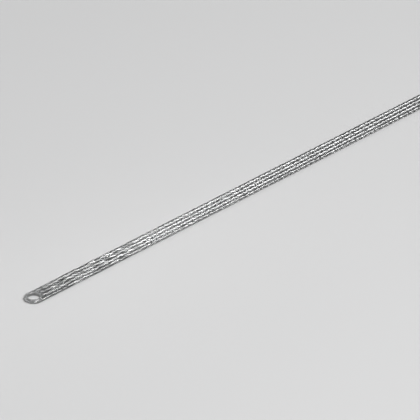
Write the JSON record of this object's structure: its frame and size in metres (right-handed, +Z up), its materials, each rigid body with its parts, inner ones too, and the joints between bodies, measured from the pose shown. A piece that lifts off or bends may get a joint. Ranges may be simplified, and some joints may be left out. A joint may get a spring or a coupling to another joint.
{
  "type": "grounding braid",
  "caption": "Flat tinned copper grounding strap: a tubular braid rolled flat, with a pressed contact ring in each rounded end for bolting between two metal panels.",
  "frame": {"origin": "on the surface that the strap lies on, under the middle of its length and width", "axes": "+X along the strap towards the far ring, +Y across its width, +Z up out of its flat face"},
  "size_m": [0.3612, 0.0112, 0.0016],
  "materials": {
    "tinned_wire": "fine tinned copper wires, braided and rolled flat, bright with dark gaps between the strands",
    "tinned_ring": "smooth pressed copper, tin plated, satin"
  },
  "bodies": {
    "root": {"flat_braid": "tinned_wire", "contact_ring_near": "tinned_ring", "contact_ring_far": "tinned_ring"}
  },
  "joints": []
}
